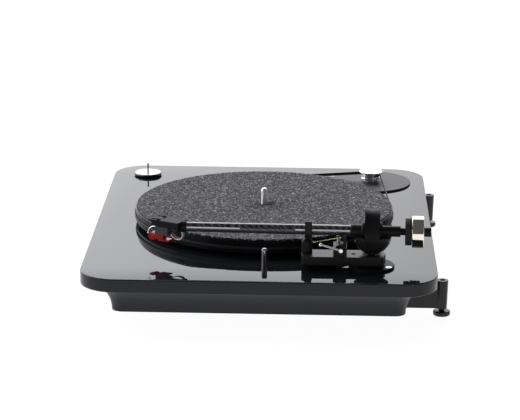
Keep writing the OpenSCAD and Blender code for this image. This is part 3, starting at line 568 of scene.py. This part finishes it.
# The mat's top is a grid of rings from the hole to the rim, each point raised or lowered by a random nap
# that is blended with its neighbours'. The rows below carry the outer ring's nap down round the edge.
mat_radius = mat_hole + (mat_r - 0.5 * mm - mat_hole) * np.linspace(0, 1, mat_rows)
mat_angle = np.linspace(0, 2 * math.pi, mat_steps, endpoint=False)
nap = np.random.default_rng(7).normal(0, 1, (mat_rows, mat_steps))
nap = (nap + np.roll(nap, 1, 1) + np.roll(nap, 1, 0)) * nap_height
top_z = mat_high.z - 0.15 * mm + np.clip(nap, -nap_most, nap_most)
top_grid = np.stack([platter_at.x + mat_radius[:, None] * np.cos(mat_angle),
                     platter_at.y + mat_radius[:, None] * np.sin(mat_angle), top_z], 2)
edge_nap = np.abs(nap[-1]) * 1.6
edge_rows = [(mat_r - 0.1 * mm, mat_high.z - 0.5 * mm, 1), (mat_r - 0.02 * mm, mat_low.z + mat_t / 2, 1),
             (mat_r - 0.15 * mm, mat_low.z + 0.1 * mm, 0.4), (mat_r - 0.6 * mm, mat_low.z + 0.02 * mm, 0),
             (mat_hole, mat_low.z + 0.02 * mm, 0)]
edge_grid = np.stack([np.stack([platter_at.x + (r - edge_nap * w) * np.cos(mat_angle),
                                platter_at.y + (r - edge_nap * w) * np.sin(mat_angle),
                                np.full(mat_steps, z)], 1) for r, z, w in edge_rows])
mat_points = np.concatenate([top_grid, edge_grid]).reshape(-1, 3)
mat_total = mat_rows + len(edge_rows)
mat_faces = np.concatenate([between(k * mat_steps, ((k + 1) % mat_total) * mat_steps, mat_steps)
                            for k in range(mat_total)]).tolist()
finished("felt_mat_pressed", mat_points, mat_faces, felt(), "felt", "platter", ["felt_mat"], crease=60)

spindle_low, spindle_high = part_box("spindle")
spindle_foot = spindle_low.z - deck
spindle_tip = spindle_high.z - deck
neck_r = 3.325 * mm
neck_top = 20.4 * mm
finished("spindle_turned", *turned([
    (0, spindle_foot), (5 * mm, spindle_foot, 0.8 * mm), (5 * mm, shoulder, 0.2 * mm), (neck_r, shoulder),
    (neck_r, neck_top), (spindle_r, neck_top), (spindle_r, spindle_tip - 2.4 * mm, 0.8 * mm),
    (2.2 * mm, spindle_tip - 0.1 * mm, 0.7 * mm), (0, spindle_tip)],
    at(platter_at, 0), steps=72), spindle_chrome, "chrome", "platter", ["spindle"])

# ---- Motor, pulley and belt ----
# A small motor hangs in a rubber ring below a thin round plate. Its plated pulley
# drives a flat ground-rubber belt that runs round the platter's rim.
motor_plate_satin = moulded("motor_plate_satin", (0.06, 0.06, 0.065), 0.5, 1200, 0.15)
pulley_chrome = bright("pulley_chrome", (0.85, 0.85, 0.86), 0.2, (1, 1, 10), 0.03, 0.9)
belt_rubber = moulded("belt_rubber", (0.014, 0.014, 0.014), 0.55, 800, 0.2)
refinish("motor", bearing_steel)
refinish("motor_shaft", screw_steel)
refinish("motor_ring", foot_rubber)
plate_r = 49 * mm
plate_t = 2 * mm
plate_hole = 7 * mm
finished("motor_plate_disc", *turned([
    (plate_hole, 0), (plate_r, 0, 0.25 * mm), (plate_r, plate_t, 0.6 * mm), (plate_hole, plate_t, 0.3 * mm),
    (plate_hole, 0)], at(motor_at, 0), steps=200), motor_plate_satin, "plate", "chassis", ["motor_plate"])

drum_r = 10.5 * mm
guard_r = 12.4 * mm
flange_r = 14.2 * mm
belt_low, belt_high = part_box("drive_belt")
belt_under = belt_low.z - deck
belt_over = belt_high.z - deck
finished("pulley_turned", *turned([
    (1.52 * mm, 2.6 * mm), (9 * mm, 2.6 * mm, 0.3 * mm), (9 * mm, 5 * mm, 0.4 * mm),
    (guard_r, 5.4 * mm, 0.3 * mm), (guard_r, belt_under - 1.2 * mm, 0.3 * mm),
    (drum_r, belt_under - 0.8 * mm, 0.3 * mm), (drum_r, belt_over + 0.8 * mm, 0.3 * mm),
    (guard_r, belt_over + 1.1 * mm, 0.2 * mm), (flange_r, belt_over + 1.7 * mm, 0.3 * mm),
    (flange_r, belt_over + 3.3 * mm, 0.6 * mm), (6 * mm, belt_over + 3.3 * mm, 0.2 * mm),
    (5.4 * mm, belt_over + 2.9 * mm, 0.2 * mm), (0, belt_over + 2.9 * mm)],
    at(motor_at, 0), steps=96), pulley_chrome, "chrome", "pulley", ["pulley"])

belt_gap = 0.3 * mm
belt_t = 0.8 * mm


def belt_line(extra, far_steps=400, near_steps=48):
    """Outline of a band round two wheels: each wheel's outer arc from tangent to tangent, joined by
    straight runs. The tangents lean from the line of centres by acos((R - r) / distance)."""
    big, small = platter_r + belt_gap + extra, drum_r + belt_gap + extra
    run = np.array([motor_at.x - platter_at.x, motor_at.y - platter_at.y])
    heading = math.atan2(run[1], run[0])
    lean = math.acos((big - small) / np.linalg.norm(run))
    far = np.linspace(heading + lean, heading + 2 * math.pi - lean, far_steps)
    near = np.linspace(heading - lean, heading + lean, near_steps)
    wide = np.array([platter_at.x, platter_at.y]) + big * np.stack([np.cos(far), np.sin(far)], 1)
    tight = np.array([motor_at.x, motor_at.y]) + small * np.stack([np.cos(near), np.sin(near)], 1)
    return np.concatenate([wide, tight])


belt_w = belt_over - belt_under
ease = 0.12 * mm
section = [(0, ease), (ease, 0), (belt_t - ease, 0), (belt_t, ease), (belt_t, belt_w - ease),
           (belt_t - ease, belt_w), (ease, belt_w), (0, belt_w - ease)]
belt_rings = [at_height(belt_line(extra), deck + belt_under + z) for extra, z in section]
belt_steps = len(belt_rings[0])
belt_faces = np.concatenate([between(k * belt_steps, ((k + 1) % len(section)) * belt_steps, belt_steps)
                             for k in range(len(section))]).tolist()
finished("drive_belt_flat", np.concatenate(belt_rings), belt_faces, belt_rubber, "belt", "chassis",
         ["drive_belt"], crease=50)

# ---- Speed knob ----
# A spun aluminium cap on a black ring, with a short dark pin to turn it by. Its
# stem works a rotary switch under the board, beside the control board.
knob_cap = bright("knob_cap", (0.45, 0.445, 0.45), 0.24, (1, 1, 14), 0.05)
ring_black = moulded("ring_black", (0.013, 0.013, 0.014), 0.3)
pin_dark = bright("pin_dark", (0.12, 0.12, 0.125), 0.3)
circuit_green = moulded("circuit_green", (0.02, 0.12, 0.055), 0.4, 300, 0.2)
spacer_brass = bright("spacer_brass", (0.7, 0.52, 0.24), 0.3)
cap_r = 16 * mm
cap_low = 2.6 * mm
cap_top = 4 * mm
knob_ring_r = 17 * mm
finished("speed_knob_cap", *turned([
    (0, cap_low), (cap_r, cap_low, 0.2 * mm), (cap_r, cap_top, 0.4 * mm), (4 * mm, cap_top, 0.3 * mm),
    (3.2 * mm, 3.7 * mm, 0.3 * mm), (0, 3.7 * mm)],
    at(knob_at, 0)), knob_cap, "knob", "speed_knob", ["speed_knob"])
finished("speed_knob_ring", *turned([
    (0, -20 * mm), (2 * mm, -20 * mm, 0.3 * mm), (2 * mm, 0.5 * mm), (15.6 * mm, 0.5 * mm, 0.3 * mm),
    (knob_ring_r, 1.2 * mm, 0.4 * mm), (knob_ring_r, cap_low, 0.5 * mm), (0, cap_low)],
    at(knob_at, 0)), ring_black, "arm_black", "speed_knob", ["knob_ring"])
finished("speed_knob_pin", *turned([
    (0, 2.8 * mm), (0.9 * mm, 2.8 * mm), (0.9 * mm, 12.9 * mm, 0.1 * mm), (1.1 * mm, 13.2 * mm, 0.1 * mm),
    (1.1 * mm, 15 * mm, 0.45 * mm), (0, 15 * mm)],
    at(knob_at, 0), steps=36), pin_dark, "steel", "speed_knob", ["knob_pin"])
refinish("speed_switch", ring_black)
refinish("control_board", circuit_green)
refinish("board_spacers", spacer_brass)

# ---- Adapter post ----
# A plain plated pin beside the arm, pressed into the board. The adapter for
# single records is kept on it.
post_r = 3.1 * mm
post_chrome = bright("post_chrome", (0.26, 0.26, 0.27), 0.07, (1, 1, 8), 0.02)
finished("adapter_post_turned", *turned([
    (0, -11.5 * mm), (2.5 * mm, -11.5 * mm, 0.3 * mm), (2.5 * mm, 0), (post_r, 0),
    (post_r, 19.4 * mm, 0.6 * mm), (2 * mm, 20.9 * mm, 0.7 * mm), (0, 21 * mm)],
    at(post_at, 0), steps=72), post_chrome, "chrome", "chassis", ["adapter_post"])

# ---- Arm base ----
# A black anodised flange, screwed to the board, carries the arm's post. A milled block
# is clamped round the post, and bears the moulded rest column with its open clip.
arm_black = moulded("arm_black", (0.015, 0.015, 0.016), 0.36, specular=0.1)
arm_anodised = moulded("arm_anodised", (0.012, 0.012, 0.013), 0.34, 1400, 0.08, specular=0.05)
block_anodised = moulded("block_anodised", (0.02, 0.02, 0.021), 0.3, 1400, 0.08, specular=0.12)
softened("arm_flange", "arm_flange_turned", arm_anodised, "chassis", 0.4 * mm)
softened("arm_flange_screws", "arm_flange_screws_cut", screw_steel, "chassis", 0.1 * mm)
softened("arm_block", "arm_block_milled", block_anodised, "chassis", 0.5 * mm)
softened("rest_clip", "rest_clip_moulded", arm_black, "chassis", 0.4 * mm)
refinish("arm_nut", bearing_steel)
# The arm's bushes get a much darker bronze tone than the bearing's bush.
bronze_dark_tone = bright("bronze_dark_tone", (0.13, 0.09, 0.06), 0.5)
refinish("arm_bushes", bronze_dark_tone)
column_at = middle("rest_column")
column_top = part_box("rest_column")[1].z - deck
column_r = 6 * mm
finished("rest_column_turned", *turned([
    (0, 3.8 * mm), (3 * mm, 3.8 * mm, 0.2 * mm), (3 * mm, 15 * mm), (column_r, 15 * mm, 0.3 * mm),
    (column_r, 27 * mm, 1 * mm), (4.6 * mm, 29.7 * mm, 1 * mm), (2 * mm, column_top, 0.6 * mm),
    (0, column_top)], at(column_at, 0), steps=72), arm_black, "arm_black", "chassis", ["rest_column"])

# ---- Arm lift and side-force weight rod ----
# A small moulded housing on the block holds the lift: a plated lever with a ball
# end lowers the piston and its curved bar. A brass rod beside it is for the thread of
# the side-force weight.
lever_chrome = bright("lever_chrome", (0.85, 0.85, 0.86), 0.28)
rod_brass = bright("rod_brass", (0.78, 0.66, 0.38), 0.2)
softened("lift_housing", "lift_housing_moulded", arm_black, "chassis", 0.6 * mm)
softened("lift_lever", "lift_lever_plated", lever_chrome, "lift_lever", 0.15 * mm)
softened("lift_piston", "lift_piston_turned", screw_steel, "lift", 0.2 * mm)
softened("lift_bar", "lift_bar_moulded", arm_black, "lift", 0.4 * mm)
softened("antiskate_bracket", "antiskate_bracket_moulded", arm_black, "chassis", 0.4 * mm)
softened("antiskate_rod", "antiskate_rod_brass", rod_brass, "chassis", 0.1 * mm)

# ---- Bearing ring and hub ----
# The ring, turned in black anodised metal, rides on the vertical shaft. Its waisted
# outer face hides the two pivot screws that hold the arm's hub, and two half bowls
# close it below.
lift_joint = next(j for j in frame["joints"] if j["name"] == "arm_lift")
arm_side = -Vector(lift_joint["axis"]).normalized()
arm_back = up.cross(arm_side)
arm_at = Vector(lift_joint["pos_m"])


def along_arm(corners, steps=96, **more):
    """A part turned about the arm's axis, with heights measured backwards from the pivot."""
    return turned(corners, arm_at, arm_back, arm_side, steps, **more)


ring_r = 25 * mm
ring_half = 8.2 * mm
bore_r = 12.6 * mm
waist = 1.1 * mm
waist_spots = [(ring_r - waist * (1 - s * s), ring_half * s) for s in np.linspace(-0.9, 0.9, 13)]
finished("bearing_ring_turned", *along_arm(
    [(bore_r, -ring_half + 1 * mm), (bore_r, -ring_half, 0.4 * mm), (ring_r, -ring_half, 0.35 * mm)]
    + waist_spots + [(ring_r, ring_half, 0.35 * mm), (bore_r, ring_half, 0.4 * mm),
                     (bore_r, -ring_half + 1 * mm)],
    steps=160), arm_anodised, "arm_metal", "yoke", ["bearing_ring"])
softened("ring_covers", "ring_covers_moulded", arm_black, "yoke", 0.4 * mm)
refinish("pivot_shaft", pin_dark)
softened("pivot_screws", "pivot_screws_cut", arm_anodised, "yoke", 0.1 * mm)
softened("arm_hub", "arm_hub_turned", arm_anodised, "arm", 0.3 * mm)

# ---- Arm tube and collar ----
# A tapered tube of twill carbon fibre under clear lacquer, with two fine white
# inlay lines on its outer side, held in a black collar at the hub.


def carbon():
    """Wound carbon fibre: a slanting wave of lighter tows over near-black resin, under a clear coat."""
    material = bpy.data.materials.new("tube_carbon")
    material.use_nodes = True
    nodes, links = material.node_tree.nodes, material.node_tree.links
    shader = nodes["Principled BSDF"]
    shader.inputs["Roughness"].default_value = 0.34
    shader.inputs["Coat Weight"].default_value = 0.7
    shader.inputs["Coat Roughness"].default_value = 0.06
    place = nodes.new("ShaderNodeTexCoord")
    tilt = nodes.new("ShaderNodeMapping")
    tilt.inputs["Scale"].default_value = (1, 0.5, 1.2)
    weave = nodes.new("ShaderNodeTexWave")
    weave.bands_direction = "DIAGONAL"
    weave.inputs["Scale"].default_value = 165
    weave.inputs["Distortion"].default_value = 6
    weave.inputs["Detail"].default_value = 2
    tones = nodes.new("ShaderNodeValToRGB")
    tones.color_ramp.elements[0].position = 0.35
    tones.color_ramp.elements[0].color = (0.009, 0.009, 0.010, 1)
    tones.color_ramp.elements[1].position = 0.95
    tones.color_ramp.elements[1].color = (0.085, 0.085, 0.09, 1)
    tow = nodes.new("ShaderNodeTexNoise")
    tow.inputs["Scale"].default_value = 1500
    bump = nodes.new("ShaderNodeBump")
    bump.inputs["Strength"].default_value = 0.2
    bump.inputs["Distance"].default_value = 0.0001
    links.new(place.outputs["Object"], tilt.inputs["Vector"])
    links.new(tilt.outputs["Vector"], weave.inputs["Vector"])
    links.new(place.outputs["Object"], tow.inputs["Vector"])
    links.new(weave.outputs["Fac"], tones.inputs["Fac"])
    links.new(tones.outputs["Color"], shader.inputs["Base Color"])
    links.new(tow.outputs["Fac"], bump.inputs["Height"])
    links.new(bump.outputs["Normal"], shader.inputs["Normal"])
    return material


tube_front = -201.8 * mm
tube_rear = -23.4 * mm
tube_front_r = 5.25 * mm
tube_rear_r = 5.85 * mm
tube_bore = 4.2 * mm
finished("arm_tube_wound", *along_arm([
    (tube_bore, tube_front), (tube_front_r, tube_front, 0.2 * mm), (tube_rear_r, tube_rear, 0.2 * mm),
    (tube_bore, tube_rear), (tube_bore, tube_front)]), carbon(), "carbon", "arm", ["arm_tube"])
finished("arm_collar_turned", *along_arm([
    (0, -11.9 * mm), (6.9 * mm, -11.9 * mm, 0.3 * mm), (6.9 * mm, tube_rear + 0.6 * mm, 0.2 * mm),
    (6.3 * mm, tube_rear, 0.2 * mm), (4.16 * mm, tube_rear), (4.16 * mm, -13 * mm), (0, -13 * mm)]),
    arm_black, "arm_black", "arm", ["arm_collar"])

inlay_white = moulded("inlay_white", (0.92, 0.92, 0.91), 0.4)


def inlay(start, end, rise_from, rise_to, along=40, around=5):
    """A thin strip laid on the tube between two stations: a patch of the tube's own surface, whose
    radius grows evenly from front to rear, as an under and an upper layer joined round the rim."""
    stations = np.linspace(start, end, along)
    angles = np.radians(np.linspace(rise_from, rise_to, around))
    share = (stations - tube_front) / (tube_rear - tube_front)
    radius = tube_front_r + (tube_rear_r - tube_front_r) * share
    side_v, back_v, up_v = np.array(arm_side), np.array(arm_back), np.array(up)
    spoke = np.cos(angles)[:, None] * side_v + np.sin(angles)[:, None] * up_v
    centres = np.array(arm_at) + stations[:, None, None] * back_v
    layers = [centres + (radius + lift)[:, None, None] * spoke[None] for lift in (-0.05 * mm, 0.03 * mm)]
    upper = along * around
    grid = np.arange(upper).reshape(along, around)
    quads = np.stack([grid[:-1, :-1], grid[1:, :-1], grid[1:, 1:], grid[:-1, 1:]], 2).reshape(-1, 4)
    rim = np.concatenate([grid[:, 0], grid[-1, 1:], grid[-2::-1, -1], grid[0, -2:0:-1]])
    walls = np.stack([rim, np.roll(rim, -1), np.roll(rim, -1) + upper, rim + upper], 1)
    faces = np.concatenate([quads, quads + upper, walls]).tolist()
    return np.concatenate([layer.reshape(-1, 3) for layer in layers]), faces


for tag, start, end in (("front", -201.3 * mm, -143 * mm), ("rear", -83 * mm, -24 * mm)):
    finished("arm_inlay_" + tag, *inlay(start, end, 2, 17), inlay_white, "carbon", "arm", [])

# ---- Rear stub, dial and counterweight ----
# The stub carries a thin rod. A threaded bush slides on it with the polished
# brass drum, and a ribbed black dial in front of the drum sets the tracking force.
weight_polish = bright("weight_polish", (0.88, 0.81, 0.71), 0.09, (1, 12, 1), 0.02)
dial_black = moulded("dial_black", (0.014, 0.014, 0.015), 0.42)
rod_bore = 3.99 * mm
dial_r = 14.75 * mm
drum_bore = 6.04 * mm
weight_r = 17.3 * mm
weight_front = 42.8 * mm
weight_back = 55.4 * mm
finished("rear_stub_turned", *along_arm([
    (0, 11.1 * mm), (5.9 * mm, 11.1 * mm), (5.9 * mm, 30.5 * mm, 0.5 * mm), (3.95 * mm, 30.5 * mm),
    (3.95 * mm, 57.4 * mm, 0.4 * mm), (0, 57.4 * mm)],
    steps=72), arm_black, "arm_black", "arm", ["rear_stub"])
finished("weight_dial_ribbed", *along_arm([
    (rod_bore, 35.6 * mm), (dial_r, 35.6 * mm, 0.6 * mm), (dial_r, 42.5 * mm, 0.4 * mm),
    (rod_bore, 42.5 * mm), (rod_bore, 35.6 * mm)],
    steps=288, flutes=48, depth=0.35 * mm), dial_black, "arm_black", "weight_dial", ["weight_dial"])
finished("counterweight_drum", *along_arm([
    (drum_bore, weight_front), (weight_r, weight_front, 0.7 * mm), (weight_r, weight_back, 0.7 * mm),
    (8 * mm, weight_back, 0.3 * mm), (7.4 * mm, 55 * mm, 0.2 * mm), (drum_bore, 55 * mm),
    (drum_bore, weight_front)],
    steps=144), weight_polish, "weight", "counterweight", ["counterweight"])
finished("weight_bush_turned", *along_arm([
    (rod_bore, 43.1 * mm), (6 * mm, 43.1 * mm), (6 * mm, 55 * mm, 0.2 * mm), (5 * mm, 55.6 * mm, 0.2 * mm),
    (5 * mm, 63.6 * mm, 0.5 * mm), (0, 63.6 * mm), (0, 61 * mm), (rod_bore, 61 * mm),
    (rod_bore, 43.1 * mm)],
    steps=72), arm_black, "arm_black", "weight_bush", ["weight_bush"])

# ---- Headshell and finger lift ----
# A light black channel glued to the tube's end, with two long slots for the
# cartridge screws, and a bright bent wire to lift the arm by.
shell_black = moulded("shell_black", (0.014, 0.014, 0.015), 0.4, specular=0.05)
finger_bright = bright("finger_bright", (0.78, 0.78, 0.79), 0.18)
softened("headshell", "headshell_formed", shell_black, "arm", 0.3 * mm)
softened("finger_lift", "finger_lift_bent", finger_bright, "arm", 0.12 * mm)

# ---- Cartridge, stylus and leads ----
# A grey-black cartridge is bolted under the headshell. Its red stylus unit pulls
# off forwards, and four coloured leads run from its pins into the tube.


def clear_red():
    """Red moulded plastic that lets some light in: full in colour, glossy, with a faint swirl of tone."""
    material = bpy.data.materials.new("stylus_red")
    material.use_nodes = True
    nodes, links = material.node_tree.nodes, material.node_tree.links
    shader = nodes["Principled BSDF"]
    shader.inputs["Roughness"].default_value = 0.14
    shader.inputs["Specular IOR Level"].default_value = 0.2
    shader.inputs["Subsurface Weight"].default_value = 0.12
    shader.inputs["Subsurface Radius"].default_value = (0.003, 0.0004, 0.0003)
    place = nodes.new("ShaderNodeTexCoord")
    swirl = nodes.new("ShaderNodeTexNoise")
    swirl.inputs["Scale"].default_value = 180
    tones = nodes.new("ShaderNodeValToRGB")
    tones.color_ramp.elements[0].color = (0.24, 0.002, 0.004, 1)
    tones.color_ramp.elements[1].color = (0.46, 0.006, 0.009, 1)
    links.new(place.outputs["Object"], swirl.inputs["Vector"])
    links.new(swirl.outputs["Fac"], tones.inputs["Fac"])
    links.new(tones.outputs["Color"], shader.inputs["Base Color"])
    return material


cartridge_grey = moulded("cartridge_grey", (0.045, 0.046, 0.052), 0.4)
stylus_red = clear_red()
softened("cartridge", "cartridge_body_moulded", cartridge_grey, "arm", 0.35 * mm)
softened("cartridge_screws", "cartridge_screws_cut", shell_black, "arm", 0.1 * mm)
softened("stylus_unit", "stylus_unit_moulded", stylus_red, "stylus", 0.25 * mm)

shell_turn = math.radians(26)
shell_reach = 206 * mm
shell_root = np.array(arm_at) - shell_reach * np.array(arm_back)
shell_side = math.cos(shell_turn) * np.array(arm_side) - math.sin(shell_turn) * np.array(arm_back)
shell_back = math.sin(shell_turn) * np.array(arm_side) + math.cos(shell_turn) * np.array(arm_back)


def lead_line(side, count=40):
    """A lead's centre line: the cubic a(1-t)^3 + 3bt(1-t)^2 + 3ct^2(1-t) + dt^3 for its station and height,
    out of the cartridge's pin, down in a bow and up into the tube."""
    t = np.linspace(0, 1, count)
    weights = np.stack([(1 - t) ** 3, 3 * t * (1 - t) ** 2, 3 * t * t * (1 - t), t ** 3])
    x = side * (1 - 0.33 * t) * mm
    stations = np.array([12.45, 8, -7, 1.2])
    heights = np.array([-8.5 - abs(side) / 2, -18, -16, -1.6])
    y = -(stations @ weights) * mm
    z = (heights @ weights) * mm
    return shell_root + x[:, None] * shell_side + y[:, None] * shell_back + z[:, None] * np.array(up)


def drawn_wire(path, radius, steps=12):
    """A round wire along a path: at each point a ring in the plane across the path's direction."""
    heading = np.gradient(path, axis=0)
    heading /= np.linalg.norm(heading, axis=1)[:, None]
    wide = np.array(arm_side) - heading * (heading @ np.array(arm_side))[:, None]
    wide /= np.linalg.norm(wide, axis=1)[:, None]
    tall = np.cross(heading, wide)
    angle = np.linspace(0, 2 * math.pi, steps, endpoint=False)
    rings = (path[:, None] + radius * (np.cos(angle)[None, :, None] * wide[:, None]
                                       + np.sin(angle)[None, :, None] * tall[:, None]))
    count = len(path)
    faces = np.concatenate([between(k * steps, (k + 1) * steps, steps) for k in range(count - 1)]).tolist()
    faces += [list(range(steps)), list(range((count - 1) * steps, count * steps))]
    return rings.reshape(-1, 3), faces


lead_tones = {"white": (3, (0.85, 0.85, 0.83)), "green": (-1, (0.08, 0.45, 0.18)),
              "red": (1, (0.7, 0.03, 0.03)), "blue": (-3, (0.06, 0.16, 0.5))}
for tone_name, (side, tone) in lead_tones.items():
    sleeve = moulded("lead_" + tone_name, tone, 0.4)
    finished("cartridge_lead_" + tone_name, *drawn_wire(lead_line(side), 0.58 * mm), sleeve, "leads", "arm",
             ["cartridge_leads"])

# ---- Lid hinge sockets ----
# Two tapered black posts stand on brackets behind the base. A lid's hinge pins
# drop into their holes, and a slotted knob below each sets how stiffly it turns.
hinge_black = moulded("hinge_black", (0.013, 0.013, 0.015), 0.3)
softened("hinge_sockets", "hinge_sockets_moulded", hinge_black, "chassis", 0.5 * mm)
for end in ("left", "right"):
    hinge_knob = "hinge_knob_" + end
    softened(hinge_knob, hinge_knob + "_moulded", ring_black, hinge_knob, 0.3 * mm)

# ---- Rear terminals ----
# A moulded panel, recessed in the base's rear wall, with two signal sockets, a ground
# post and the inlet for the power plug.
softened("rear_terminals", "rear_terminals_fitted", arm_black, "chassis", 0.2 * mm)
